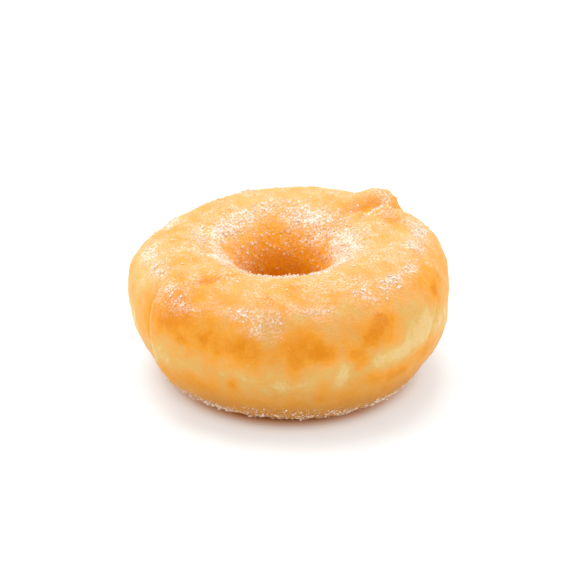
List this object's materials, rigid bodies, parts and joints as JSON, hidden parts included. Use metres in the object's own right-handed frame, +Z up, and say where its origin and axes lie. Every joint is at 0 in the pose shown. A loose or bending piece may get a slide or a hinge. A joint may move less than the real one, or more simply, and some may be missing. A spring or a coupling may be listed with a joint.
{
  "type": "sugared ring doughnut",
  "caption": "Thick fried ring doughnut with a lapped, uneven golden crust, a pale band round its side and coarse sugar crystals stuck to it; stands flat on its base.",
  "frame": {"origin": "on the table, below the middle of the ring", "axes": "+Z up through the hole, -Y is the front, +X is to the right as seen from the front"},
  "size_m": [0.0881, 0.0883, 0.0421],
  "materials": {
    "crust": "satin fried dough crust"
  },
  "bodies": {
    "root": {"doughnut": "crust"}
  },
  "joints": []
}
